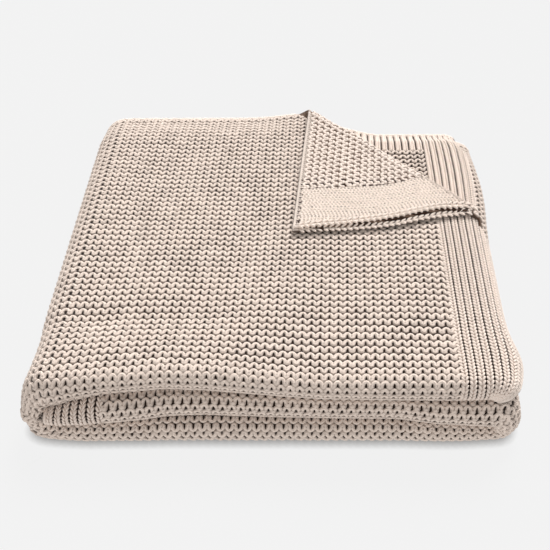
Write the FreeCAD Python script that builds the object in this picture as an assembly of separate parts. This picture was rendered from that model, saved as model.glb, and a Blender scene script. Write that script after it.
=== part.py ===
import FreeCAD, Part
import math
import os
from FreeCAD import Vector

# A knitted throw folded in thirds across its width and in quarters along its length.
# Millimetres, +Z up, front edge towards -Y. The origin is under the middle of the stack.
# The side folds make three panels. Each panel is four plies: an outer wrap round an
# inner wrap, both rolled at the front, with one back fold and two free ends behind.

# Driving dimensions: the folded stack
stack_width = 450.0        # left fold to right fold
stack_depth = 410.0        # front roll to back folds
left_fold_reach = 30.0     # left fold, out past the ends of the bottom and top panels
left_fold_hollow = 10.0    # depth of the space inside the left fold
right_fold_reach = 26.0    # right fold, out past the ends of the bottom and inner panels
top_panel_setback = 6.0    # top panel's free edge, in from the right fold's outermost line

# Driving dimensions: the knitted fabric
ply_thickness = 6.95       # one ply under the weight of the stack
side_border_width = 51.0   # ribbed border down each long side
ribbed_end_width = 48.0    # ribbed border across the end where the knitting starts
plain_end_width = 11.0     # narrow hem across the other end
turned_leg = 205.0         # turned-back corner, along the back edge and along the side edge

# Clearances
ply_gap = 0.35             # air between one ply and the next
seam_gap = 0.3             # between pieces of fabric that continue into each other
fold_end_rounding = 9.0    # softened front and back ends of the side folds

# Levels and lines that follow from the sizes above
ply_pitch = ply_thickness + ply_gap
panel_pitch = 4 * ply_pitch
stack_height = 3 * panel_pitch - ply_gap
front_line = -stack_depth / 2
back_line = stack_depth / 2
left_line = -stack_width / 2 + left_fold_reach
right_line = stack_width / 2 - right_fold_reach
top_edge = stack_width / 2 - top_panel_setback
turn_radius = ply_thickness + ply_gap / 2      # outside of a fold between two neighbouring plies

nodes = {}


def point(y, z):
    return Vector(0, y, z)


def line(start, end):
    return Part.LineSegment(start, end).toShape()


def arc(start, middle, end):
    return Part.Arc(start, middle, end).toShape()


def extrude(edges, start, length):
    wire = Part.Wire(Part.__sortEdges__(edges))
    face = Part.Face(wire)
    face.translate(start)
    return face.extrude(length)


def slab(x_low, x_high, y_low, y_high, z_low, height=ply_thickness):
    corner = Vector(x_low, y_low, z_low)
    return Part.makeBox(x_high - x_low, y_high - y_low, height, corner)


def rolled_wrap(x_low, x_high, low, high, front):
    # Two plies joined by a round turn at the front. low and high are the
    # (lower face level, back end) of the two plies.
    z_low, back_low = low
    z_high, back_high = high
    top = z_high + ply_thickness
    middle = (z_low + top) / 2
    radius = (top - z_low) / 2
    turn = front + radius
    edges = [
        line(point(back_low, z_low), point(turn, z_low)),
        arc(point(turn, z_low), point(front, middle), point(turn, top)),
        line(point(turn, top), point(back_high, top)),
        line(point(back_high, top), point(back_high, z_high)),
        line(point(back_high, z_high), point(turn, z_high)),
        arc(point(turn, z_high), point(front + ply_thickness, middle), point(turn, z_low + ply_thickness)),
        line(point(turn, z_low + ply_thickness), point(back_low, z_low + ply_thickness)),
        line(point(back_low, z_low + ply_thickness), point(back_low, z_low)),
    ]
    return extrude(edges, Vector(x_low, 0, 0), Vector(x_high - x_low, 0, 0))


def half_ring(x_low, x_high, y, z_low):
    # The back fold between two neighbouring plies.
    middle = z_low + turn_radius
    top = z_low + 2 * turn_radius
    inner = ply_gap / 2
    edges = [
        arc(point(y, z_low), point(y + turn_radius, middle), point(y, top)),
        line(point(y, top), point(y, middle + inner)),
        arc(point(y, middle + inner), point(y + inner, middle), point(y, middle - inner)),
        line(point(y, middle - inner), point(y, z_low)),
    ]
    return extrude(edges, Vector(x_low, 0, 0), Vector(x_high - x_low, 0, 0))


def half_ellipse(x, z, reach, half_height, side):
    # From the top to the bottom of an upright ellipse, round its left (-1) or right (+1) side.
    centre = Vector(x, 0, z)
    tip = centre + Vector(side * reach, 0, 0)
    crown = centre + Vector(0, 0, half_height)
    if half_height >= reach:
        return Part.ArcOfEllipse(Part.Ellipse(crown, tip, centre), 0, math.pi).toShape()
    return Part.ArcOfEllipse(Part.Ellipse(tip, crown, centre), -math.pi / 2, math.pi / 2).toShape()


def soften_ends(shape):
    # Rounds the curved edges at the front and back ends of a side fold.
    ends = []
    for edge in shape.Edges:
        box = edge.BoundBox
        at_an_end = box.YLength < 0.01
        full_height = box.ZLength > shape.BoundBox.ZLength - 0.01
        curved = box.XLength > 1
        if at_an_end and full_height and curved:
            ends.append(edge)
    return shape.makeFillet(fold_end_rounding, ends)


def ply_levels(base, first_ply_down):
    # Lower face of plies 1 to 4. Ply 1 faces down in the bottom panel and up in the others.
    levels = [base + ply * ply_pitch for ply in range(4)]
    if first_ply_down:
        return levels
    return levels[::-1]


def wrap_between(x_low, x_high, first, second, front):
    low, high = sorted([first, second])
    return rolled_wrap(x_low, x_high, low, high, front)


def make_panel(name, base, x_low, x_high, border_side, first_ply_down):
    # border_side: -1 or +1 for a panel that ends in a ribbed side border, 0 for none.
    level = ply_levels(base, first_ply_down)
    fold_start = back_line - turn_radius
    plain_start = back_line - plain_end_width
    ribbed_start = back_line - ribbed_end_width
    inner_front = front_line + ply_pitch
    spans = {"field": (x_low, x_high)}
    if border_side > 0:
        seam = x_high - side_border_width
        spans = {"field": (x_low, seam - seam_gap), "side_border": (seam, x_high)}
    if border_side < 0:
        seam = x_low + side_border_width
        spans = {"field": (seam + seam_gap, x_high), "side_border": (x_low, seam)}
    for kind, (low, high) in spans.items():
        outer_first = (level[0], plain_start - seam_gap)
        outer_second = (level[3], fold_start - seam_gap)
        inner_first = (level[1], ribbed_start - seam_gap)
        inner_second = (level[2], fold_start - seam_gap)
        nodes[f"{name}_outer_{kind}"] = wrap_between(low, high, outer_first, outer_second, front_line)
        nodes[f"{name}_inner_{kind}"] = wrap_between(low, high, inner_first, inner_second, inner_front)
    nodes[f"{name}_back_fold"] = half_ring(x_low, x_high, fold_start, min(level[2], level[3]))
    nodes[f"{name}_plain_end"] = slab(x_low, x_high, plain_start, back_line, level[0])
    nodes[f"{name}_ribbed_end"] = slab(x_low, x_high, ribbed_start, back_line, level[1])


def make_left_fold():
    # All four plies, carried round the edge of the inner panel from the bottom to the top panel.
    x = left_line - seam_gap
    middle = stack_height / 2
    reach = left_fold_reach - seam_gap
    half_hollow = (panel_pitch + ply_gap) / 2
    edges = [
        half_ellipse(x, middle, reach, stack_height / 2, -1),
        line(Vector(x, 0, stack_height), Vector(x, 0, middle + half_hollow)),
        half_ellipse(x, middle, left_fold_hollow, half_hollow, -1),
        line(Vector(x, 0, middle - half_hollow), Vector(x, 0, 0)),
    ]
    nodes["left_fold"] = soften_ends(extrude(edges, Vector(0, front_line, 0), Vector(0, stack_depth, 0)))


def make_right_fold():
    # All four plies, turned from the bottom panel back into the inner panel.
    x = right_line + seam_gap
    height = 2 * panel_pitch - ply_gap
    edges = [
        half_ellipse(x, height / 2, right_fold_reach - seam_gap, height / 2, 1),
        line(Vector(x, 0, height), Vector(x, 0, 0)),
    ]
    nodes["right_fold"] = soften_ends(extrude(edges, Vector(0, front_line, 0), Vector(0, stack_depth, 0)))


def corner_prism(setback, z_low, z_high):
    # Everything outside a 45 degree line across the back right corner. The line is
    # moved by setback towards the corner.
    reach = 2 * turned_leg
    step = setback * math.sqrt(2)
    corner = Vector(top_edge, back_line, z_low)
    start = corner + Vector(-turned_leg - reach + step, reach, 0)
    end = corner + Vector(reach + step, -turned_leg - reach, 0)
    far = corner + Vector(reach + step, reach, 0)
    face = Part.Face(Part.makePolygon([start, end, far, start]))
    return face.extrude(Vector(0, 0, z_high - z_low))


def turn_corner_back():
    # Cuts the corner out of the top ply and lays it on top, reverse side up.
    crease_level = stack_height + ply_gap / 2
    crease_start = Vector(top_edge - turned_leg, back_line, crease_level)
    crease_direction = Vector(-1, 1, 0)
    top_ply_low = stack_height - ply_thickness - ply_gap / 2
    cut = corner_prism(-seam_gap, top_ply_low, crease_level)
    keep = corner_prism(seam_gap, top_ply_low, crease_level)
    sources = {
        "top_panel_outer_field": "turned_corner_field",
        "top_panel_outer_side_border": "turned_corner_side_border",
        "top_panel_plain_end": "turned_corner_plain_end",
    }
    for source, name in sources.items():
        whole = nodes[source]
        piece = whole.common(keep)
        piece.rotate(crease_start, crease_direction, 180)
        nodes[name] = piece
        nodes[source] = whole.cut(cut)


def make_crease():
    # The ply's rounded turn along the corner's 45 degree line.
    radius = turn_radius
    level = stack_height + ply_gap / 2
    length = turned_leg * math.sqrt(2)
    start = Vector(top_edge - turned_leg, back_line, level)
    along = Vector(1, -1, 0).normalize()
    bar = Part.makeCylinder(radius, length, start, along)
    hole = Part.makeCylinder(ply_gap / 2, length, start, along)
    outside = corner_prism(0, level - 2 * radius, level + 2 * radius)
    panel = slab(left_line, top_edge, front_line, back_line, level - radius, 2 * radius)
    nodes["turned_corner_crease"] = bar.cut(hole).common(outside).common(panel)


make_panel("bottom_panel", 0, left_line, right_line, 0, True)
make_panel("inner_panel", panel_pitch, left_line, right_line, -1, False)
make_panel("top_panel", 2 * panel_pitch, left_line, top_edge, 1, False)
make_left_fold()
make_right_fold()
turn_corner_back()
make_crease()

os.makedirs("parts", exist_ok=True)
for name, shape in nodes.items():
    solids = shape.Solids
    body = solids[0] if len(solids) == 1 else Part.makeCompound(solids)
    body.exportStep(f"parts/{name}.step")
    print(f"{name}: {len(solids)} solid, {body.Volume / 1000:.1f} cm3, valid {body.isValid()}")
print(f"stack {stack_width:.1f} x {stack_depth:.1f} x {stack_height + ply_pitch:.1f} mm")
crease_middle = (top_edge - turned_leg / 2, back_line - turned_leg / 2, stack_height + ply_gap / 2)
print("crease axis point", crease_middle)
print("top panel axis point", (-stack_width / 2, 0, stack_height / 2))
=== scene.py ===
import math

import bpy
import numpy as np
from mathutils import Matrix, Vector


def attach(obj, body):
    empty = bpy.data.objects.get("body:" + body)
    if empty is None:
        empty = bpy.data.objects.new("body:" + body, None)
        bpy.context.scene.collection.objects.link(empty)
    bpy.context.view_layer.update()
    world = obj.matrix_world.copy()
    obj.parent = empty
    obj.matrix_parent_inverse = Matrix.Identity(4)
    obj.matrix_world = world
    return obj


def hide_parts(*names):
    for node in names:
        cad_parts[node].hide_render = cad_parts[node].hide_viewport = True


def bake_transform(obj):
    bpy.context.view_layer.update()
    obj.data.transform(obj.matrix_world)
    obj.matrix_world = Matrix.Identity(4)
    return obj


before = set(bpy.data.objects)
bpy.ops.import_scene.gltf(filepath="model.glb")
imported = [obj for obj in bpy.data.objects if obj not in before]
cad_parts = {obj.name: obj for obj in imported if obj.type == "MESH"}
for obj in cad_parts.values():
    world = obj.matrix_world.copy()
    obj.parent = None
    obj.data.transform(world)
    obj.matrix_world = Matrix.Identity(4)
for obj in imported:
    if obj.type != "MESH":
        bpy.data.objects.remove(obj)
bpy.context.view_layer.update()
rng = np.random.default_rng(7)

# A knitted throw, folded in thirds across and in quarters along. One long cloth runs
# through a fold map, and every yarn is laid on that cloth.
# Lengths are millimetres in the CAD frame, stored as metres when a mesh is made.
stitch = 8.3                 # one garter stitch along its row
ridge = 7.7                  # from one garter row to the next
plyStep = 7.3                # from one ply to the next
panelStep = 4 * plyStep
outerPly = 1.5 * plyStep     # plies 1 and 4, off the middle of their panel
innerPly = plyStep / 2       # plies 2 and 3
stackTop = 87.4
backLine = 205.0
frontLine = -backLine
plainHem = 11.0              # before the first garter row


def smooth(value):
    value = np.clip(value, 0, 1)
    return value * value * (3 - 2 * value)


def ramp(value, start, length):
    # from 0 at start to 1 after length
    return smooth((value - start) / length)


def hill(value, centre, wide):
    return np.exp(-((value - centre) / wide) ** 2)


def swell(x, y, spot):
    # a soft rise: height, x, y, and its spread in x and y
    height, cx, cy, wide, deep = spot
    return height * np.exp(-((x - cx) / wide) ** 2 - ((y - cy) / deep) ** 2)


def lineFrom(points):
    places = sorted(points)
    return lambda value: np.interp(value, places, [points[place] for place in places])


def runLength(points):
    steps = np.linalg.norm(np.diff(points, axis=0), axis=1)
    return np.concatenate([[0], np.cumsum(steps)])


def ellipseTurn(centre, across, up, start, end, count):
    angle = np.radians(np.linspace(start, end, count))
    points = np.stack([centre[0] + across * np.cos(angle), centre[1] + up * np.sin(angle)], 1)
    normals = np.stack([np.cos(angle) / across, np.sin(angle) / up], 1)
    return points, normals / np.linalg.norm(normals, axis=1, keepdims=True)


def flatRun(start, end, level, normal, count):
    points = np.stack([np.linspace(start, end, count), np.full(count, level)], 1)
    return points, np.tile(np.array([0.0, normal]), (count, 1))


def joined(parts, column):
    return np.concatenate([part[column][(1 if i else 0):] for i, part in enumerate(parts)])


def lookUp(value, places, columns):
    return [np.interp(value, places, columns[:, k]) for k in range(columns.shape[1])]


# Across the cloth: from the top panel's free edge round the left fold, the bottom panel
# and the right fold to the inner panel's ribbed edge.
panelMiddles = {"bottom": 2 * plyStep, "inner": 6 * plyStep, "top": 10 * plyStep}
topBend = {"x": 187.0, "radius": 16.0, "angle": 68.0}     # the free edge bends down
leftFold = {"x": -199.0, "reach": 21.0, "pinch": 0.31, "pinchRun": 26.0}
rightFold = {"x": 199.0, "reach": 11.5}
innerEdgeX = -204.0

bendX, bendRadius, bendAngle = topBend["x"], topBend["radius"], topBend["angle"]
acrossParts = [
    ellipseTurn((bendX, panelMiddles["top"] - bendRadius), bendRadius, bendRadius, 90 - bendAngle, 90, 24),
    flatRun(bendX, leftFold["x"], panelMiddles["top"], 1, 60),
    ellipseTurn((leftFold["x"], panelMiddles["inner"]), leftFold["reach"], panelStep, 90, 270, 60),
    flatRun(leftFold["x"], rightFold["x"], panelMiddles["bottom"], -1, 60),
    ellipseTurn((rightFold["x"], panelStep), rightFold["reach"], panelStep / 2, -90, 90, 40),
    flatRun(rightFold["x"], innerEdgeX, panelMiddles["inner"], 1, 60),
]
acrossPoints = joined(acrossParts, 0)
acrossNormals = joined(acrossParts, 1)
acrossLength = runLength(acrossPoints)
marks = np.cumsum([runLength(points)[-1] for points, normals in acrossParts])
topStart, topEnd, foldEnd, bottomEnd, rightEnd, innerEnd = marks
foldMiddle = (topEnd + foldEnd) / 2

# Along the cloth: ply 1 from the back, the front roll, ply 4, the back fold, ply 3, the
# inner roll and ply 2. The second number is the height off the middle of the panel.
plyHalf = 3.5
rollY = frontLine + outerPly + plyHalf
innerRollY = frontLine + innerPly + plyHalf + plyStep
foldY = backLine - 2 * plyHalf
innerTurn, innerTurnNormals = ellipseTurn((innerRollY, 0), innerPly, innerPly, 270, 90, 16)
alongParts = [
    flatRun(backLine, rollY, outerPly, 1, 80),
    ellipseTurn((rollY, 0), outerPly, outerPly, 90, 270, 40),
    flatRun(rollY, foldY, -outerPly, -1, 80),
    ellipseTurn((foldY, -plyStep), innerPly, innerPly, -90, 90, 16),
    flatRun(foldY, innerRollY, -innerPly, 1, 80),
    (innerTurn, -innerTurnNormals),
    flatRun(innerRollY, backLine, innerPly, -1, 80),
]
alongPoints = joined(alongParts, 0)
alongNormals = joined(alongParts, 1)
yarnLevel = 2.0              # yarns lie this far off the middle of their ply
faceLevel = 4.5              # and their faces show here
alongLength = runLength(alongPoints + yarnLevel * alongNormals)
lastPoints = np.cumsum([len(points) - 1 for points, normals in alongParts])
plyOneEnd, rollEnd, plyFourEnd, backFoldEnd = alongLength[lastPoints[:4]]
alongEnd = alongLength[-1]
print("fold map: across", round(float(acrossLength[-1])), "along", round(float(alongLength[-1])))

# What handling does to the square stack: lean, droop and uneven rolls.
frontShift = {               # how far each panel's roll stands forward, by x
    "x": [-215, -190, -170, -150, -118, -95, -62, 0, 45, 111, 144, 170, 200],
    "bottom": [2, 6, 8, 8, 8, 8, 8, 8, 8, 8, 8, 8, 5],
    "inner": [3, 7, 9, 8, 5.5, 2, 1, 3, 4, 4.5, 8, 9, 9],
    "top": [0, 2, 1, -1, -3, -5, -4, 1.5, 5, 6, 6, 6, 5],
}
frontDrop = {                # how far the lines between the panels sink at the front, by x
    "x": [-215, -204, -190, -179, -165, -150, -118, -95, -62, 0, 115, 144, 170, 200],
    "lower": [5, 6, 7, 6, 5, 4, 2, 0, -1, 0, 1, 5, 6, 10],
    "upper": [22, 21, 14, 8, 3.5, 0, -2, -2, -1, 0, 1.5, 2, 2, 2],
}
handling = {
    "lean": (0.054, 0.034),          # sideways per millimetre of depth, and how much less at the right
    "rowWaves": (1.9, 1.2),          # long and short waves in the top's rows
    "topWave": 0.8,
    "backPull": (6, 20),             # the back's top is pulled in, and more so at the right
    "backDroop": (6, 4),
    "underCorner": 2.4,              # the second ply lies lower where the corner is off it
    "leftSide": (9, 5),              # the left side leans in at the back and out at the front
    "backLeft": 2,
    "backRight": 6,
    "frontRightPanels": 1,
    "frontCorners": 4,               # drawn in
    "frontRightLift": 5,
    "bottomFlare": (-15, 6),         # the lowest ply spreads at the front, left and right
}
zones = {                    # where a move begins, and over what length it comes in
    "front": (110, 80),
    "back": (140, 65),
    "right": (30, 80),
    "innerPanel": (20, 18),
    "topPanel": (49, 18),
    "softTop": (50, 40),
    "rowWaves": (50, 30),
    "droop": (160, 45),
    "peak": (76, 9),
    "lean": (60, 110),
}
swells = {
    "behindShoulder": (-3.0, -175, -128, 95, 14),
    "shoulder": (1.6, -165, -172, 80, 20),
    "rightHollow": (-1.6, 150, -150, 45, 18),
    "creasePeak": (7.5, 22, 205, 42, 34),
    "backRightBulge": (6, 235, 110, 60, 60),
    "frontRightBulge": (9, 225, -165, 40, 26),
}


def settle(x, y, z):
    atFront = ramp(-y, *zones["front"])
    atBack = ramp(y, *zones["back"])
    atRight = ramp(x, *zones["right"])
    # the lines between the panels
    lowerSink = np.interp(x, frontDrop["x"], frontDrop["lower"]) * atFront
    upperSink = np.interp(x, frontDrop["x"], frontDrop["upper"]) * atFront
    lowLine = panelStep - lowerSink
    highLine = 2 * panelStep - upperSink
    first = z * lowLine / panelStep
    second = lowLine + (z - panelStep) * (panelStep + lowerSink - upperSink) / panelStep
    third = highLine + (z - 2 * panelStep) * (panelStep + upperSink) / panelStep
    upper = np.where(z < stackTop, third, z)
    z2 = np.where(z < panelStep, first, np.where(z < 2 * panelStep, second, upper))
    # the rolls
    low = ramp(z, *zones["innerPanel"])
    high = ramp(z, *zones["topPanel"])
    levels = [np.interp(x, frontShift["x"], frontShift[name]) for name in ("bottom", "inner", "top")]
    forward = levels[0] * (1 - low) + levels[1] * low * (1 - high) + levels[2] * high
    # the soft top
    soft = swell(x, y, swells["behindShoulder"]) + swell(x, y, swells["shoulder"])
    soft = soft + swell(x, y, swells["rightHollow"])
    soft = soft + handling["topWave"] * np.sin(x / 41 + y / 67) * np.sin(y / 53 - 1)
    z2 = z2 + soft * ramp(z, *zones["softTop"])
    z2 = z2 + swell(x, y, swells["creasePeak"]) * ramp(z, *zones["peak"])
    z2 = z2 - handling["underCorner"] * ramp(x + y, 190, 40) * ramp(z, 55, 15) * (1 - ramp(z, 80.5, 2.5))
    # the back edge droops and is pulled in, most at the right
    tall = np.clip(z / stackTop, 0, 1.1)
    pull = handling["backPull"][0] + handling["backPull"][1] * atRight
    droop = handling["backDroop"][0] + handling["backDroop"][1] * atRight
    z2 = z2 - droop * tall ** 2 * ramp(y, *zones["droop"])
    y2 = y - forward * atFront - pull * atBack * tall ** 1.5
    longWave, shortWave = handling["rowWaves"]
    waves = longWave * np.sin(x / 43 + y / 95) * np.cos(y / 71 - 0.5) + shortWave * np.sin(x / 19 - y / 60)
    y2 = y2 + waves * (1 - atFront) * (1 - atBack) * ramp(z, *zones["rowWaves"])
    # the sides
    lean, leanLess = handling["lean"]
    x2 = x + (lean - leanLess * ramp(x, *zones["lean"])) * y
    leanIn, leanOut = handling["leftSide"]
    x2 = x2 + ramp(-x, 100, 100) * (leanIn * ramp(y, -215, 90) - leanOut)
    x2 = x2 + handling["backLeft"] * ramp(y, 165, 45) * ramp(-x, 150, 70)
    x2 = x2 - handling["backRight"] * ramp(y, 140, 50) * ramp(x, 165, 50) * ramp(z, 40, 20)
    x2 = x2 + swell(x, y, swells["backRightBulge"]) * (1 - 0.5 * ramp(z, 70, 20))
    x2 = x2 - handling["frontRightPanels"] * ramp(x, 150, 60) * (1 - ramp(z, 45, 20)) * atFront
    x2 = x2 + swell(x, y, swells["frontRightBulge"]) * hill(z, 66, 16)
    x2 = x2 - handling["frontCorners"] * ramp(-y, 185, 24) * ramp(np.abs(x), 195, 30) * np.sign(x)
    z2 = z2 + handling["frontRightLift"] * ramp(x, 180, 35) * ramp(-y, 165, 35) * hill(z, 56, 14)
    flare = np.where(x < 0, *handling["bottomFlare"])
    x2 = x2 + flare * ramp(-z, -22, 22) * ramp(np.abs(x), 165, 55) * atFront
    return np.stack([x2, y2, z2], -1)


def bundle(s, y, n):
    # s runs across the cloth, y is the depth, n the height off the middle of the panel
    px, pz = lookUp(s, acrossLength, acrossPoints)
    nx, nz = lookUp(s, acrossLength, acrossNormals)
    size = np.hypot(nx, nz)
    thin = 1 - leftFold["pinch"] * hill(s, foldMiddle, leftFold["pinchRun"])
    before = np.minimum(s, 0)    # past the free edge the cloth runs straight on
    px = px - before * math.cos(math.radians(bendAngle))
    pz = pz + before * math.sin(math.radians(bendAngle))
    return settle(px + nx / size * n * thin, y, pz + nz / size * n * thin)


def cloth(s, v, t):
    # v runs along the cloth, t is the height off the middle of the ply
    y, n = lookUp(v, alongLength, alongPoints)
    my, mn = lookUp(v, alongLength, alongNormals)
    size = np.hypot(my, mn)
    return bundle(s, y + my / size * t, n + mn / size * t)


def toAcross(x, level=outerPly):
    bend = (bendRadius + level) / bendRadius
    return np.where(x < bendX, topStart + bendX - x, topStart - (x - bendX) / bend)


# The turned corner: the top ply rolled back over a line at 45 degrees.
corner = {
    "sum": 214.0,                # the crease runs where x and y add up to this
    "radius": 5.6,
    "sink": (3.4, 28),           # how far it sinks on to the ply below, and over what length
    "frontPuff": (2, -140, 40, 30),   # at the crease's back end: height, place, width, length
    "edgeDrop": (2.5, 5, 15),    # below the upper braid: height, width, length
    "tipDrape": (0.5, 96, 40),   # share of the height lost, from here, over this length
    "peakDrop": (-4, 22, 205, 42, 34),
    "peakRun": 14,
    "skew": 0.07,
}
creaseSum, creaseRadius = corner["sum"], corner["radius"]
flapStart = math.pi * creaseRadius       # length of cloth in the crease
creaseCut = math.sqrt(2) * flapStart
edgeX = bendX + (bendRadius + outerPly) * math.radians(bendAngle)

# where the corner's edge, its upper braid and its smooth band begin, by y
cornerEdge = lineFrom({-10: 207, 30: 208, 63: 217, 105: 230, 157: 237, 205: 242})
cornerBraid = lineFrom({-10: 199, 30: 201, 62: 207, 105: 220, 157: 231, 205: 239})
cornerBand = lineFrom({55: 159, 86: 160, 105: 167, 133: 173, 165: 177, 205: 179})


def topPly(x, y, t):
    # the flat top ply, with everything past the crease rolled back
    q = (x + y - creaseSum) / math.sqrt(2)
    r = (x - y) / math.sqrt(2)
    phi = np.clip(q / creaseRadius, 0, math.pi)
    past = np.maximum(q - flapStart, 0)
    q2 = np.where(q < 0, q, (creaseRadius - t) * np.sin(phi) - past)
    x2 = (creaseSum + math.sqrt(2) * (q2 + r)) / 2 - corner["skew"] * past
    y2 = (creaseSum + math.sqrt(2) * (q2 - r)) / 2
    lift = creaseRadius - (creaseRadius - t) * np.cos(phi)
    sink, sinkRun = corner["sink"]
    lift = lift - sink * (1 - np.exp(-past / sinkRun))
    puff, puffPlace, puffWide, puffRun = corner["frontPuff"]
    quarter = np.minimum(phi, math.pi / 2)
    lift = lift + puff * hill(r, puffPlace, puffWide) * np.sin(quarter) * np.exp(-past / puffRun)
    drop, dropWide, dropRun = corner["edgeDrop"]
    lift = lift - drop * ramp(x - cornerBraid(y), 1, dropWide) * ramp(past, 0, dropRun)
    share, drapeStart, drapeRun = corner["tipDrape"]
    lift = lift * (1 - share * ramp(r, drapeStart, drapeRun))
    lift = lift + swell(x2, y2, corner["peakDrop"]) * ramp(past, 0, corner["peakRun"])
    return bundle(toAcross(x2), y2, outerPly + np.where(q < 0, t, lift))


# The meshes: yarns are closed tubes, gathered into one mesh for each piece.
# depths mapped to the painted shade between the loops and on the faces
shadeDepth = {"deepest": -1.5, "range": 4.5, "brightest": 1.4}


def linked(name, mesh):
    made = bpy.data.objects.new(name, mesh)
    bpy.context.scene.collection.objects.link(made)
    return made


def meshFrom(name, verts, corners, starts):
    mesh = bpy.data.meshes.new(name)
    mesh.vertices.add(len(verts))
    mesh.vertices.foreach_set("co", verts.astype(np.float32).ravel())
    mesh.loops.add(len(corners))
    mesh.loops.foreach_set("vertex_index", corners.astype(np.int32))
    mesh.polygons.add(len(starts))
    mesh.polygons.foreach_set("loop_start", starts.astype(np.int32))
    mesh.update(calc_edges=True)
    mesh.polygons.foreach_set("use_smooth", np.ones(len(starts), bool))
    mesh.validate()
    mesh.update()
    return mesh


def addMap(mesh, name, values):
    layer = mesh.uv_layers.new(name=name)
    layer.data.foreach_set("uv", values.astype(np.float32).ravel())


def addShade(mesh, depth):
    # painted shade: 0 deep between the loops, 1 on the cloth's face
    shade = mesh.attributes.new("shade", "FLOAT", "POINT")
    value = np.clip((depth - shadeDepth["deepest"]) / shadeDepth["range"], 0, shadeDepth["brightest"])
    shade.data.foreach_set("value", value.astype(np.float32))


class Knit:
    # Gathers tubes of yarn for one piece, then makes the mesh and its two texture maps.
    def __init__(self, name):
        self.name = name
        self.groups = []

    def tubes(self, mapping, a, b, t, radius, sides, flat, columns, face, shadeLift):
        a, b, t = np.broadcast_arrays(*[np.atleast_2d(np.asarray(k, float)) for k in (a, b, t)])
        centre = mapping(a, b, t)
        outward = mapping(a, b, t + 0.5) - centre
        forward = np.gradient(centre, axis=1)
        sideways = np.cross(forward, outward)
        sideways /= np.linalg.norm(sideways, axis=-1, keepdims=True) + 1e-12
        outward = np.cross(sideways, forward)
        outward /= np.linalg.norm(outward, axis=-1, keepdims=True) + 1e-12
        angle = 2 * math.pi * np.arange(sides) / sides
        radius = np.broadcast_to(radius, a.shape)[:, :, None, None]
        ring = np.cos(angle)[None, None, :, None] * sideways[:, :, None, :]
        ring = ring + flat * np.sin(angle)[None, None, :, None] * outward[:, :, None, :]
        points = centre[:, :, None, :] + radius * ring
        run = np.linalg.norm(np.diff(centre, axis=1), axis=-1)
        run = np.concatenate([np.zeros((len(a), 1)), np.cumsum(run, axis=1)], axis=1)
        # how deep each point lies sets its painted shade, which the lift makes lighter or darker
        depth = face * (t[:, :, None] + radius[..., 0] * np.sin(angle)[None, None, :])
        depth = depth + np.atleast_2d(shadeLift)[:, :, None]
        self.groups.append((points, run, depth, float(np.mean(radius)), columns))

    def build(self):
        rows = [math.ceil(len(group[0]) / group[-1]) for group in self.groups]
        total = float(sum(rows))
        verts, totals, corners = [], [], []
        bakeMap, yarnMap, depths = [], [], []
        offset = 0
        begun = 0.0
        for (points, run, depth, radius, columns), share in zip(self.groups, rows):
            n, m, k, _ = points.shape
            ids = offset + np.arange(n * m * k).reshape(n, m, k)
            nextId = np.roll(ids, -1, axis=2)
            quads = np.stack([ids[:, :-1], ids[:, 1:], nextId[:, 1:], nextId[:, :-1]], -1).reshape(-1, 4)
            verts.append(points.reshape(-1, 3))
            depths.append(depth.reshape(-1))
            # each tube has its own strip of the bake map
            cell = np.arange(n)
            left = (cell % columns) / columns
            base = (begun + cell // columns) / total
            u = np.linspace(0.02, 0.98, m) / columns
            v = (0.06 + 0.88 * np.arange(k + 1) / k) / total
            stripU = np.broadcast_to((left[:, None] + u[None])[:, :, None], (n, m, k + 1))
            stripV = np.broadcast_to((base[:, None] + v[None])[:, None, :], (n, m, k + 1))
            # and real lengths in metres on the yarn map
            around = 2 * math.pi * radius * np.arange(k + 1) / k / 1000
            yarnU = np.broadcast_to(run[:, :, None] / 1000, (n, m, k + 1))
            yarnV = np.broadcast_to(around, (n, m, k + 1))
            for source, target in ((np.stack([stripU, stripV], -1), bakeMap),
                                   (np.stack([yarnU, yarnV], -1), yarnMap)):
                quadMap = np.stack([source[:, :-1, :-1], source[:, 1:, :-1], source[:, 1:, 1:],
                                    source[:, :-1, 1:]], -2)
                target.append(quadMap.reshape(-1, 2))
                target.append(source[:, 0, :-1].reshape(-1, 2))
                target.append(source[:, -1, :-1].reshape(-1, 2))
            corners.append(quads.reshape(-1))
            corners.append(ids[:, 0, :].reshape(-1))
            corners.append(ids[:, -1, ::-1].reshape(-1))
            totals.append(np.full(len(quads), 4))
            totals.append(np.full(2 * n, k))
            offset += n * m * k
            begun += share
        verts = np.concatenate(verts) / 1000
        verts[:, 2] = np.maximum(verts[:, 2], 0)     # nothing sinks below the resting face
        totals = np.concatenate(totals)
        starts = np.concatenate([[0], np.cumsum(totals)[:-1]])
        mesh = meshFrom(self.name, verts, np.concatenate(corners), starts)
        addMap(mesh, "OFBake", np.concatenate(bakeMap))
        addMap(mesh, "yarn", np.concatenate(yarnMap))
        addShade(mesh, np.concatenate(depths))
        print(self.name, "faces", len(totals), "triangles", int(np.sum(totals - 2)))
        return linked(self.name, mesh)


knits = {}


def tube(name, mapping, a, b, t, radius, sides=8, flat=1.0, columns=1, face=1, shadeLift=0):
    knits.setdefault(name, Knit(name)).tubes(mapping, a, b, t, radius, sides, flat, columns, face, shadeLift)


def span(start, end, step):
    return np.linspace(start, end, max(3, int(abs(end - start) / step) + 1))


ridgeYarn = {
    "arch": 2.25,            # half the height of an arch, over the cloth
    "archSharp": 0.3,
    "swing": (0.85, 0.28),   # along the row, once and twice a stitch
    "level": 1.5,            # off the ply, less at the legs and more at the arch
    "legDip": 0.5,
    "archRise": 0.8,
    "radius": 1.5,           # and how much thicker the legs and the cups are
    "legSwell": 0.85,
    "cupSwell": 1.15,
    "flat": 0.85,
    # the arches get a painted highlight and the cups painted shade
    "archHighlightCupShade": 0.6,
    "wander": (0.11, 3),     # unevenness of the row and of the yarn, and stitches between changes
    "uneven": (0.055, 1),
}
coarse = {"perStitch": 8, "sides": 5}    # where rows are hardly seen


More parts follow.
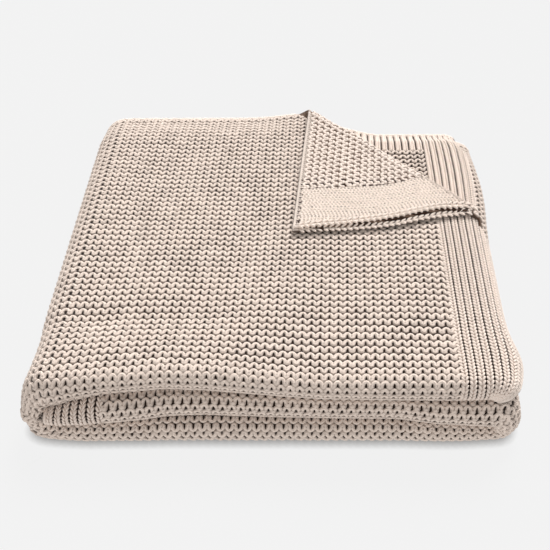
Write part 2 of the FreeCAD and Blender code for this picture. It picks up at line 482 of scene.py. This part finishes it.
def rowPlaces(mapping, start, end, b, t, origin, perStitch):
    # equal stitches along one row, in step with the row's crossing of origin
    fine = np.linspace(start, end, max(30, int(abs(end - start) / 2)))
    run = runLength(mapping(fine, np.full(fine.shape, b), np.full(fine.shape, t)))
    zero = np.interp(origin, fine, run) if start < end else np.interp(-origin, -fine, run)
    first = math.ceil(-zero / stitch * perStitch)
    last = math.floor((run[-1] - zero) / stitch * perStitch)
    phase = np.arange(first, last + 1) / perStitch
    return np.interp(phase * stitch + zero, run, fine), phase


def noiseAlong(phase, amount, every):
    places = np.arange(-210, 210, every)
    return amount * np.interp(phase, places, rng.normal(size=len(places)))


def garterRow(parts, mapping, b, face, up, origin, perStitch=12, sides=7, grow=1.0):
    # One ridge: a yarn that arches over each slit and cups under between the slits.
    # parts: (name, start, end) one after another along the row.
    start, end = parts[0][1], parts[-1][2]
    if abs(end - start) < stitch:
        return
    along, phase = rowPlaces(mapping, start, end, b, face * yarnLevel, origin, perStitch)
    theta = 2 * math.pi * phase
    direction = 1 if end > start else -1
    wander = noiseAlong(phase, *ridgeYarn["wander"])
    size = grow + noiseAlong(phase, *ridgeYarn["uneven"])
    arch = np.cos(theta)
    legs = np.sin(theta) ** 2
    cup = np.clip(-arch, 0, 1)
    height = ridgeYarn["arch"] * arch + ridgeYarn["archSharp"] * np.cos(2 * theta)
    across = b + up * (grow * height + wander)
    swing, secondSwing = ridgeYarn["swing"]
    placed = along + direction * (swing * np.sin(theta) + secondSwing * np.sin(2 * theta))
    depth = ridgeYarn["level"] - ridgeYarn["legDip"] * legs + ridgeYarn["archRise"] * np.clip(arch, 0, 1)
    thick = (ridgeYarn["radius"] + ridgeYarn["legSwell"] * legs + ridgeYarn["cupSwell"] * cup) * size
    margin = stitch / perStitch
    for name, low, high in parts:
        inside = (along - low) * direction >= -margin
        inside &= (high - along) * direction >= -margin
        if inside.sum() > 2:
            # painted highlight on the arches, painted shade in the cups
            tube(name, mapping, placed[inside], across[inside], (face * depth)[inside], thick[inside],
                 sides, ridgeYarn["flat"], face=face, shadeLift=ridgeYarn["archHighlightCupShade"] * arch[inside])


def veeColumn(name, mapping, a, start, end, face=1, half=1.65, step=3.7, radius=1.3, level=2.1,
              slant=1.1, reach=0.56, sides=5, rings=4, keep=None):
    # a column of Vs, the face of a plain rib, along b
    b = np.arange(start + step / 2, end - step / 3, step)
    if len(b) < 1:
        return
    part = np.linspace(-1, 1, rings)[None, :]
    for side in (-1, 1):
        across = a + side * (half - slant * part) + 0 * b[:, None]
        along = b[:, None] + reach * step * part
        t = face * (level - 0.5 * part ** 2 - 0.25 * side * part) + 0 * along
        thick = radius * (1 - 0.3 * part ** 2) * (1 + 0.06 * rng.normal(size=(len(b), 1)))
        chosen = slice(None) if keep is None else keep(a, b)
        if len(b[chosen]):
            tube(name, mapping, across[chosen], along[chosen], t[chosen], thick[chosen], sides,
                 columns=32, face=face)


# Garter rows of the three panels. joinTop and joinLow are where the left fold's own
# knit begins and ends.
topBorder = {
    "width": 60.0,
    "pitch": 7.4,
    "ribs": 7,
    "ribRadius": 3.1,
    "ribFlat": 0.5,
    "hiddenShift": 26,       # the border lies this much further in on the hidden plies
    "hiddenRun": 60,
    "hiddenLevel": 0.8,
    "hiddenFlat": 0.75,
}
garterRows = {
    "count": 130,
    "topParts": (20, 36),    # rows in the back part of the top, and to the end of the middle part
    "rollLead": 16,          # the stack's rows join the front rolls this far before the roll
    "rollGrow": 1.04,
    "innerBorder": 52.0,     # left free for the inner panel's ribs
    "backStep": 5.0,         # the back folds open the rows out, so they are set closer there
    "backGrow": 1.15,
}
middleS = float(toAcross(0.0))
joinTop = float(toAcross(-192.0))
joinLow = float(foldEnd + 7.0)
rightJoinLow = bottomEnd - 6
rightJoinTop = rightEnd + 8
fieldX = edgeX - topBorder["width"]
innerFieldEnd = innerEnd - garterRows["innerBorder"]


def borderShift(v):
    return -topBorder["hiddenShift"] * np.clip((v - rollEnd) / topBorder["hiddenRun"], 0, 1)


faceLength = runLength(alongPoints + faceLevel * alongNormals)
rowRuns = plainHem + ridge * (np.arange(garterRows["count"]) - 0.5)
rowPlacesAlong = np.interp(rowRuns, faceLength, alongLength)
backRows, middleEnd = garterRows["topParts"]
for index, v in enumerate(rowPlacesAlong[rowPlacesAlong < plyFourEnd - 4]):
    y = backLine - v
    right = fieldX + borderShift(v) + 2.5
    if v < plyOneEnd and y > creaseSum - right:
        right = creaseSum - y - 1
    start = float(toAcross(right))
    if v > rollEnd:
        garterRow([("topUnderKnit", start, joinTop)], cloth, v, 1, 1, middleS, **coarse)
        garterRow([("leftFoldInsideKnit", joinTop, joinLow)], cloth, v, 1, 1, joinTop, **coarse)
        continue
    onRoll = v > plyOneEnd - garterRows["rollLead"]
    topName = "topKnitFront"
    if index < middleEnd:
        topName = "topKnitBack" if index < backRows else "topKnitMiddle"
    parts = [(topName, start, joinTop), ("leftFoldKnit", joinTop, joinLow)]
    if onRoll:
        parts.append(("frontRollsKnit", joinLow, innerFieldEnd))
    garterRow(parts, cloth, v, 1, -1, middleS, grow=garterRows["rollGrow"] if v > plyOneEnd else 1.0)
    if not onRoll:
        garterRow([("bottomKnit", joinLow, rightJoinLow)], cloth, v, 1, -1, joinLow, **coarse)
        garterRow([("rightFoldKnit", rightJoinLow, rightJoinTop)], cloth, v, 1, -1, rightEnd)
        garterRow([("innerPanelKnit", rightJoinTop, innerFieldEnd)], cloth, v, 1, -1, rightEnd, **coarse)

for v in np.arange(plyFourEnd - 4, backFoldEnd + 5, garterRows["backStep"]):
    start = float(toAcross(fieldX + borderShift(v)))
    parts = [("topUnderKnit", start, joinTop), ("leftFoldInsideKnit", joinTop, joinLow),
             ("backFoldsKnit", joinLow, innerEnd - 2)]
    garterRow(parts, cloth, v, 1, 1, middleS, 10, 6, garterRows["backGrow"])
print("garter rows of the panels laid")


# Ribbed border of the top panel, with two fine chains at its outer edge.
chain = {"half": 1.1, "radius": 1.1, "level": 1.7, "slant": 0.7}
chainYarn = {"radius": 2.3, "level": 0.4, "flat": 0.8}
chainPlaces = (fieldX + topBorder["pitch"] * topBorder["ribs"] + 1.6, edgeX - 2.2)


def topRib(x, v, t):
    return cloth(toAcross(x + borderShift(v)), v, t)


def ribStart(x):
    return max(0.0, backLine - (creaseSum - x) - 3)


for x in fieldX + topBorder["pitch"] * (np.arange(topBorder["ribs"]) + 0.5):
    tube("topBorderRibs", topRib, x, span(ribStart(x), rollEnd, 4), 0.0, topBorder["ribRadius"], 10,
         topBorder["ribFlat"])
    tube("topUnderKnit", topRib, x, span(rollEnd, backFoldEnd, 6), topBorder["hiddenLevel"],
         topBorder["ribRadius"], 6, topBorder["hiddenFlat"])
    veeColumn("topBorderRibs", topRib, x, ribStart(x), rollEnd + 4)
for x in chainPlaces:
    tube("topEdge", topRib, x, span(ribStart(x), rollEnd, 4), chainYarn["level"], chainYarn["radius"],
         flat=chainYarn["flat"])
    veeColumn("topEdge", topRib, x, ribStart(x), rollEnd + 4, **chain)

# Selvedge down the right of the top panel, and the cloth's two ends behind.
# the hem yarns are lifted clear of the painted shade, so their backs stay pale
hemYarn = {"radius": 2.3, "level": 0.6, "shadeLift": 1.8, "top": 1.2, "under": alongEnd - 1.5}
hemChain = {"half": 1.0, "radius": 1.0, "level": 1.9, "slant": 0.6}
hemChainIn = 2.8
selvedge = {"in": 0.3, "radius": 2.7}
selvedgeRun = span(ribStart(edgeX) + 3, alongEnd, 4)
tube("topEdge", cloth, selvedge["in"], selvedgeRun, 0.0, selvedge["radius"])
for side, face in (("top", 1), ("under", -1)):
    first = float(toAcross(creaseSum - backLine - 3)) if side == "top" else 0.0
    for name, start, end in (("topEdge", first, joinTop), ("leftFoldEdge", joinTop, joinLow),
                             ("stackEdge", joinLow, innerEnd)):
        tube(name, cloth, span(start, end, 4), hemYarn[side], hemYarn["level"] * face, hemYarn["radius"],
             face=face, shadeLift=hemYarn["shadeLift"])


def acrossFirst(a, b, t):
    return cloth(b, a, t)


first = float(toAcross(creaseSum - backLine + hemChainIn - 2))
veeColumn("topEdge", acrossFirst, hemChainIn, first, joinTop, **hemChain)
veeColumn("leftFoldEdge", acrossFirst, hemChainIn, joinTop, joinLow, **hemChain)
print("top border and edges laid")

# The inner panel's ribbed border, seen in the mouth of the left fold.
innerBorder = {
    "ribs": 7,
    "pitch": 7.6,
    "start": innerEnd - 55,
    "hiddenTo": plyOneEnd - 20,
    "ribRadius": 3.1,
    "ribFlat": 0.5,
    "edgeIn": 0.5,
}
for rib in range(innerBorder["ribs"]):
    s = innerBorder["start"] + innerBorder["pitch"] * (rib + 0.5)
    tube("innerBorderRibs", cloth, s, span(0, rollEnd, 5), 0.0, innerBorder["ribRadius"],
         flat=innerBorder["ribFlat"])
    veeColumn("innerBorderRibs", cloth, s, 0, innerBorder["hiddenTo"], rings=3, sides=4)
    veeColumn("innerBorderRibs", cloth, s, innerBorder["hiddenTo"], rollEnd + 10)
innerEdge = innerEnd - innerBorder["edgeIn"]
tube("innerBorderRibs", cloth, innerEdge, span(0, alongEnd, 5), 0.0, selvedge["radius"])

# The second ply, shown where the corner is turned back: ribbed end, rows and border.
secondPly = {
    "ribbedEnd": 62.0,
    "endPitch": 8.4,
    "endRibs": 17,
    "endYarn": (-0.2, 3.8, 10, 0.55),      # level, radius, sides and flatness
    "borderPitch": 7.2,
    "borderRibs": 8,
    "borderYarn": (-0.2, 3.25, 10, 0.6),
    "rows": 14,
    "rowGrow": 0.88,
    "under": 30,             # how far it runs on under the crease
}


def second(x, y, t):
    return cloth(toAcross(x, innerPly), alongEnd - (backLine - y), t)


endRibStart = fieldX - secondPly["endPitch"] * secondPly["endRibs"]
for x in np.arange(endRibStart, fieldX - 3, secondPly["endPitch"]) + secondPly["endPitch"] / 2:
    low = max(backLine - secondPly["ribbedEnd"], creaseSum - x - secondPly["under"])
    tube("secondPlyRibs", second, x, span(low, backLine - 2, 4), *secondPly["endYarn"], face=-1)
    veeColumn("secondPlyRibs", second, x, low, backLine - 2, face=-1, half=1.8)
for rib in range(secondPly["borderRibs"]):
    x = fieldX + secondPly["borderPitch"] * (rib + 0.5)
    low = creaseSum - x - secondPly["under"]
    tube("secondPlyRibs", second, x, span(low, backLine - 2, 4), *secondPly["borderYarn"], face=-1)
    veeColumn("secondPlyRibs", second, x, low, backLine - 2, face=-1)
for row in range(secondPly["rows"]):
    y = backLine - secondPly["ribbedEnd"] - ridge * (row + 0.5)
    left = creaseSum - y - secondPly["under"] - 4
    if left < fieldX - 4:
        garterRow([("secondPlyField", left, fieldX)], second, y, -1, 1, fieldX, grow=secondPly["rowGrow"])
print("inner border and second ply laid")

# The turned corner and its crease: the reverse side shows.
cornerRows = {"pitch": 7.2, "count": 30, "creaseLead": 5, "underFrom": 8}
cornerUnder = {"ribs": topBorder["ribs"] + 4, "ribRadius": 3.3, "ribFlat": 0.75}
for y in backLine - (plainHem + cornerRows["pitch"] * (np.arange(cornerRows["count"]) - 0.5)):
    start = creaseSum - y - cornerRows["creaseLead"]
    end = float(cornerBand(y))
    cut = creaseSum - y + creaseCut
    if start < end:
        parts = [("creaseKnit", start, min(cut, end))]
        if cut < end:
            parts.append(("cornerKnit", cut, end))
        garterRow(parts, topPly, y, -1, 1, start)
    if cut + cornerRows["underFrom"] < end:
        underStart = cut + cornerRows["underFrom"]
        garterRow([("cornerUnderKnit", underStart, end)], topPly, y, 1, 1, start, **coarse)

for x in fieldX + topBorder["pitch"] * (np.arange(cornerUnder["ribs"]) + 0.5):
    y = span(creaseSum + creaseCut - x, backLine - 2, 3)
    y = y[x < cornerEdge(y) - 2]
    if len(y) > 2:
        tube("cornerUnderRibs", topPly, x, y, 0.0, cornerUnder["ribRadius"], flat=cornerUnder["ribFlat"])


def beside(line):
    # a map measured from one of the corner's lines
    return lambda a, y, t: topPly(line(y) + a, y, t)


def pastCrease(line, a, y):
    return line(y) + a + y - creaseSum > creaseCut


def onSide(line, past):
    # picks the stitches past the crease, or those still on it
    return lambda a, b: pastCrease(line, a, b) == past


# the smooth band beside the corner's edge
band = {"first": 1.8, "width": 62, "step": 3.6, "stagger": 0.31}
bandChain = {"half": 0.95, "radius": 1.3, "level": 2.0, "slant": 0.7, "step": 3.6, "rings": 3, "face": -1}
fineY = np.linspace(-60, backLine - 1, 400)
for a in np.arange(band["first"], band["width"], band["step"]):
    low = fineY[np.argmax(cornerBand(fineY) + a + fineY > creaseSum - 5)]
    fits = fineY[(cornerBand(fineY) + a < cornerBraid(fineY) - 1) & (fineY > low)]
    if len(fits):
        low = max(low, fits[0]) + a * band["stagger"] % band["step"]
        for name, past in (("creaseKnit", False), ("cornerBand", True)):
            veeColumn(name, beside(cornerBand), a, low, backLine - 3,
                      keep=onSide(cornerBand, past), **bandChain)

# its hem along the cloth's end
cornerHem = {"in": 2.9, "yarnIn": 0.5, "radius": 1.7, "level": -0.6}
cornerHemChain = {"half": 0.85, "radius": 1.0, "level": 1.5, "slant": 0.7, "step": 3.6, "face": -1}


def alongHem(b, x, t):
    return topPly(x, backLine - cornerHem["in"] + b, t)


creaseX = creaseSum - backLine
hemStart = creaseX + cornerHem["in"] + creaseCut
veeColumn("cornerBand", alongHem, 0.0, hemStart, float(cornerBraid(backLine)), **cornerHemChain)
x = span(creaseX - 3, float(cornerEdge(backLine)), 4)
cutX = creaseX + creaseCut
for name, chosen in (("creaseKnit", x < cutX + 4), ("cornerEdge", x > cutX - 1)):
    tube(name, topPly, x[chosen], backLine - cornerHem["yarnIn"], cornerHem["level"], cornerHem["radius"],
         face=-1)

# and the two braids of its edge
braid = {"half": 2.1, "radius": 1.4, "slant": 1.75, "step": 5.8, "reach": 0.42, "face": -1}
braids = (
    {"line": cornerBraid, "level": -2.6, "radius": 1.6, "in": 0.0},
    {"line": cornerEdge, "level": -0.4, "radius": 1.8, "in": -1.0},
)
for each in braids:
    line, a = each["line"], each["in"]
    low = fineY[np.argmax(line(fineY) + fineY > creaseSum - 5)]
    y = span(low, backLine - 1, 3)
    sides = (("creaseKnit", False), ("cornerEdge", True))
    for name, past in sides:
        chosen = pastCrease(line, a, y) == past
        if chosen.sum() > 2:
            tube(name, beside(line), a, y[chosen], each["level"], each["radius"], face=-1)
    for name, past in sides:
        veeColumn(name, beside(line), a, low, backLine - 2, level=1.9 - each["level"],
                  keep=onSide(line, past), **braid)
print("turned corner laid")

pieces = [knit.build() for knit in knits.values()]

# The cloths: thin closed sheets under the yarns, dark with painted shade between the loops.
# half its thickness, then the depths that set how much painted shade its faces get
sheetLook = {"half": 1.2, "front": -0.6, "rear": -0.6, "paleRear": 3.0}
sheetGrid = {"along": 250, "top": 60, "leftFold": 30, "stack": 130, "crease": (16, 50), "corner": 40}
creaseEndX = 207.0
cornerReach = 206.0


def clothSheet(name, mapping, a, b, rear=sheetLook["rear"]):
    # over the grid a (rows by columns) by b
    outer = mapping(a, b, np.full(a.shape, sheetLook["half"]))
    inner = mapping(a, b, np.full(a.shape, -sheetLook["half"]))
    m, n = a.shape
    verts = np.concatenate([outer.reshape(-1, 3), inner.reshape(-1, 3)]) / 1000
    ids = np.arange(m * n).reshape(m, n)
    front = np.stack([ids[:-1, :-1], ids[1:, :-1], ids[1:, 1:], ids[:-1, 1:]], -1).reshape(-1, 4)
    border = np.concatenate([ids[0, :], ids[1:, -1], ids[-1, -2::-1], ids[-2:0:-1, 0]])
    after = np.roll(border, -1)
    rim = np.stack([border, after, after + m * n, border + m * n], -1)
    faces = np.concatenate([front, front[:, ::-1] + m * n, rim])
    mu, nu = np.meshgrid(np.linspace(0, 1, m), np.linspace(0, 1, n), indexing="ij")
    # the two faces lie side by side on the maps
    place = np.stack([nu * 0.47 + 0.01, mu * 0.98 + 0.01], -1).reshape(-1, 2)
    place = np.concatenate([place, place + np.array([0.5, 0.0])])[faces.reshape(-1)]
    mesh = meshFrom(name, verts, faces.reshape(-1), np.arange(len(faces)) * 4)
    addMap(mesh, "OFBake", place)
    addMap(mesh, "yarn", place)
    addShade(mesh, np.concatenate([np.full(m * n, sheetLook["front"]), np.full(m * n, rear)]))
    print(name, "faces", len(faces))
    return linked(name, mesh)


def grid(first, second):
    return np.meshgrid(first, second, indexing="ij")


alongGrid = np.linspace(0, alongEnd, sheetGrid["along"])
share, v = grid(np.linspace(0, 1, sheetGrid["top"]), alongGrid)
startS = np.where(v < plyOneEnd, toAcross(np.minimum(edgeX, creaseSum - (backLine - v))), 0)
topCloth = clothSheet("topPanelCloth", cloth, startS + share * (joinTop - startS), v)
s, v = grid(np.linspace(joinTop, joinLow, sheetGrid["leftFold"]), alongGrid)
foldCloth = clothSheet("leftFoldCloth", cloth, s, v, sheetLook["paleRear"])
s, v = grid(np.linspace(joinLow, innerEnd, sheetGrid["stack"]), alongGrid)
stackCloth = clothSheet("stackCloth", cloth, s, v, sheetLook["paleRear"])
roundTurn, alongTurn = sheetGrid["crease"]
q, share = grid(np.linspace(-1, flapStart + 1, roundTurn), np.linspace(0, 1, alongTurn))
total = creaseSum + math.sqrt(2) * q
x = (total - backLine) + share * (creaseEndX - (total - backLine))
creaseCloth = clothSheet("creaseCloth", topPly, x, total - x)
cornerSteps = sheetGrid["corner"]
lowY = creaseSum + creaseCut - cornerReach
y, share = grid(np.linspace(lowY, backLine, cornerSteps), np.linspace(0, 1, cornerSteps))
startX = creaseSum + creaseCut - y
cornerCloth = clothSheet("cornerCloth", topPly, startX + share * (cornerEdge(y) - startX), y)
pieces += [topCloth, foldCloth, stackCloth, creaseCloth, cornerCloth]


# The looks: matt cotton, with painted shade deep between the loops and twisted strands.
class Socket:
    # a node's output that takes part in sums
    def __init__(self, shader, socket):
        self.shader = shader
        self.socket = socket

    def output(self, key):
        return Socket(self.shader, self.socket.node.outputs[key])

    def maths(self, operation, *values):
        return self.shader.node("ShaderNodeMath", {"operation": operation}, dict(enumerate(values)))

    def __add__(self, other):
        return self.maths("ADD", self, other)

    def __sub__(self, other):
        return self.maths("SUBTRACT", self, other)

    def __rsub__(self, other):
        return self.maths("SUBTRACT", other, self)

    def __mul__(self, other):
        return self.maths("MULTIPLY", self, other)

    __radd__ = __add__
    __rmul__ = __mul__

    def sine(self):
        return self.maths("SINE", self)


class Shader:
    def __init__(self, name):
        self.material = bpy.data.materials.new(name)
        self.material.use_nodes = True
        self.tree = self.material.node_tree
        self.tree.nodes.clear()

    def node(self, kind, settings=None, inputs=None, output=0):
        node = self.tree.nodes.new(kind)
        for key, value in (settings or {}).items():
            setattr(node, key, value)
        for key, value in (inputs or {}).items():
            if isinstance(value, Socket):
                self.tree.links.new(value.socket, node.inputs[key])
            else:
                node.inputs[key].default_value = value
        return Socket(self, node.outputs[output]) if len(node.outputs) else None

    def noise(self, place, scale, detail):
        return self.node("ShaderNodeTexNoise", inputs={"Vector": place, "Scale": scale, "Detail": detail})

    def mix(self, share, first, second):
        return self.node("ShaderNodeMix", {"data_type": "RGBA"}, {0: share, 6: first, 7: second}, 2)


def colour(red, green, blue):
    def linear(c):
        c = c / 255
        return c / 12.92 if c <= 0.04045 else ((c + 0.055) / 1.055) ** 2.4
    return (linear(red), linear(green), linear(blue), 1)


cotton = {
    "roughness": 0.9,
    "sheen": 0.15,
    "specular": 0.2,
    "patchScale": 60,
    "patchTone": 0.2,
    "fibreScale": 1400,
    "fibreTone": 0.25,
    "twist": (0.011, 0.0026),    # metres along the yarn and round it
}
looks = {
    # bump in metres, then the depth where the deep colour ends and how soon it turns light; each deep
    # colour is painted shade between the loops
    "garterCotton": {"light": (231, 214, 201), "deep": (54, 36, 27), "bump": 0.0003, "turn": (0.37, 1.2)},
    "ribCotton": {"light": (232, 216, 204), "deep": (58, 40, 30), "bump": 0.0002, "turn": (0.38, 1.85)},
    # a little paler than the garter look: painted light on the edges and the band
    "edgeCotton": {"light": (236, 221, 209), "deep": (64, 45, 34), "bump": 0.0002, "turn": (0.40, 1.85)},
    # a paler deep colour: lighter painted shade on the turned corner
    "turnedCotton": {"light": (233, 217, 205), "deep": (104, 82, 68), "bump": 0.0003, "turn": (0.36, 1.4)},
    # the sheets' deep colour is painted shade under the gaps between the loops
    "clothCotton": {"light": (176, 154, 138), "deep": (46, 31, 22), "bump": 0.0002, "turn": (0.42, 1.5)},
    # an even mid brown, darker than the yarn: painted shade on the turned corner's sheets
    "turnedClothCotton": {"light": (140, 116, 99), "deep": (140, 116, 99), "bump": 0.0002,
                          "turn": (0.42, 1.85)},
}


def cottonMaterial(name, look):
    shader = Shader(name)
    yarn = shader.node("ShaderNodeUVMap", {"uv_map": "yarn"})
    length = shader.node("ShaderNodeSeparateXYZ", inputs={0: yarn})
    place = shader.node("ShaderNodeTexCoord", output="Object")
    shade = shader.node("ShaderNodeAttribute", {"attribute_name": "shade"}, output="Fac")
    patch = shader.noise(place, cotton["patchScale"], 3)
    fibre = shader.noise(place, cotton["fibreScale"], 2)
    # painted shade: the shade attribute mixes from the deep colour between the loops to the light colour on
    # the faces
    deepEnd, slope = look["turn"]
    lift = (shade - deepEnd) * slope
    lift = lift + (patch - 0.5) * cotton["patchTone"] + (fibre - 0.5) * cotton["fibreTone"]
    tone = shader.mix(lift, colour(*look["deep"]), colour(*look["light"]))
    twistAlong, twistRound = cotton["twist"]
    strands = (length.output(1) * (2 * math.pi / twistRound) + length * (2 * math.pi / twistAlong)).sine()
    height = strands * 0.5 + fibre * 0.8
    bump = shader.node("ShaderNodeBump", inputs={
        "Strength": 1.0, "Distance": look["bump"], "Height": height})
    surface = shader.node("ShaderNodeBsdfPrincipled", inputs={
        "Base Color": tone, "Roughness": cotton["roughness"], "Sheen Weight": cotton["sheen"],
        "Sheen Roughness": 0.5, "Specular IOR Level": cotton["specular"], "Normal": bump})
    shader.node("ShaderNodeOutputMaterial", inputs={0: surface})
    return shader.material


materials = {name: cottonMaterial(name, look) for name, look in looks.items()}
ribNames = ("topBorderRibs", "innerBorderRibs", "secondPlyRibs", "cornerUnderRibs")
edgeNames = ("topEdge", "leftFoldEdge", "stackEdge", "cornerEdge", "cornerBand")
riding = {"top": "top_panel", "second": "top_panel", "corner": "turned_corner"}
for piece in pieces:
    name = piece.name
    isTurned = name.startswith(("corner", "crease"))
    if name in ribNames:
        look, slot = "ribCotton", "rib_knit"
    elif name in edgeNames:
        look, slot = "edgeCotton", "edge_knit"
    else:
        look, slot = "turnedCotton" if isTurned else "garterCotton", "garter_knit"
    if "Cloth" in name:
        look = "turnedClothCotton" if isTurned else "clothCotton"
    piece.data.materials.append(materials[look])
    if name.startswith("leftFold"):
        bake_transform(piece)
    elif name.startswith("crease"):
        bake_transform(piece)
    else:
        bodies = [body for start, body in riding.items() if name.startswith(start)]
        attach(piece, bodies[0] if bodies else "stack")
print("looks given to", len(pieces), "pieces")


def nodesOf(*starts):
    return [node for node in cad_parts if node.startswith(starts)]


creaseNode = "turned_corner_crease"
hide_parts(*nodesOf("top_panel"))
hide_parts(*nodesOf("bottom_panel", "inner_panel", "right_fold"))
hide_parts("left_fold")
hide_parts(creaseNode)
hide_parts(*[node for node in nodesOf("turned_corner") if node != creaseNode])

# flat sizes in metres
cornerSide = (edgeX - 30) / 1000
cornerSide ** 2 / 2

# The stage: a pale floor with a painted contact shadow, soft light and the camera, in metres.
floorLook = {"half": 30, "open": (0.856, 0.856, 0.856, 1), "shadowTone": (0.2, 0.19, 0.18, 1), "shadowReach": 0.009,
             "diffuse": (0.03, 0.03, 0.03, 1)}
half = floorLook["half"]
floorPoints = np.array([[-half, -half, 0], [half, -half, 0], [half, half, 0], [-half, half, 0]])
floor = linked("floor", meshFrom("floor", floorPoints, np.arange(4), np.array([0])))
floorShader = Shader("paleFloor")
# the floor's glow darkens close to the throw: a painted contact shadow
contactShadow = floorShader.node("ShaderNodeAmbientOcclusion", {"samples": 8},
                            {"Distance": floorLook["shadowReach"]}, "AO")
glow = floorShader.mix(contactShadow, floorLook["shadowTone"], floorLook["open"])
floorDiffuse = floorShader.node("ShaderNodeBsdfDiffuse", inputs={0: floorLook["diffuse"], 1: 0.5})
floorGlow = floorShader.node("ShaderNodeEmission", inputs={0: glow, 1: 1.0})
floorSum = floorShader.node("ShaderNodeAddShader", inputs={0: floorDiffuse, 1: floorGlow})
floorShader.node("ShaderNodeOutputMaterial", inputs={0: floorSum})
floor.data.materials.append(floorShader.material)

light = {
    "world": 0.46,
    # energy, angular size, and the direction towards the light
    "suns": {"softBox": (3.6, 24, (0.25, 0.75, 1.0)), "fill": (0.74, 60, (-0.1, -1.0, 0.45))},
}
world = bpy.data.worlds.new("studio")
bpy.context.scene.world = world
world.use_nodes = True
background = world.node_tree.nodes["Background"]
background.inputs[0].default_value = (1, 1, 1, 1)
background.inputs[1].default_value = light["world"]
for name, (energy, size, towards) in light["suns"].items():
    sun = bpy.data.lights.new(name, "SUN")
    sun.energy = energy
    sun.angle = math.radians(size)
    linked(name, sun).rotation_euler = Vector(towards).to_track_quat("Z", "Y").to_euler()

view = {"lens": 60.5, "place": (-0.008, -0.715, 0.72), "tilt": 45.4}
camera = bpy.data.cameras.new("camera")
camera.lens = view["lens"]
camera.sensor_width = 36
cameraObject = linked("camera", camera)
cameraObject.location = view["place"]
cameraObject.rotation_euler = (math.radians(view["tilt"]), 0, 0)
bpy.context.scene.camera = cameraObject
bpy.context.scene.view_settings.view_transform = "Standard"
print("stage and camera set")
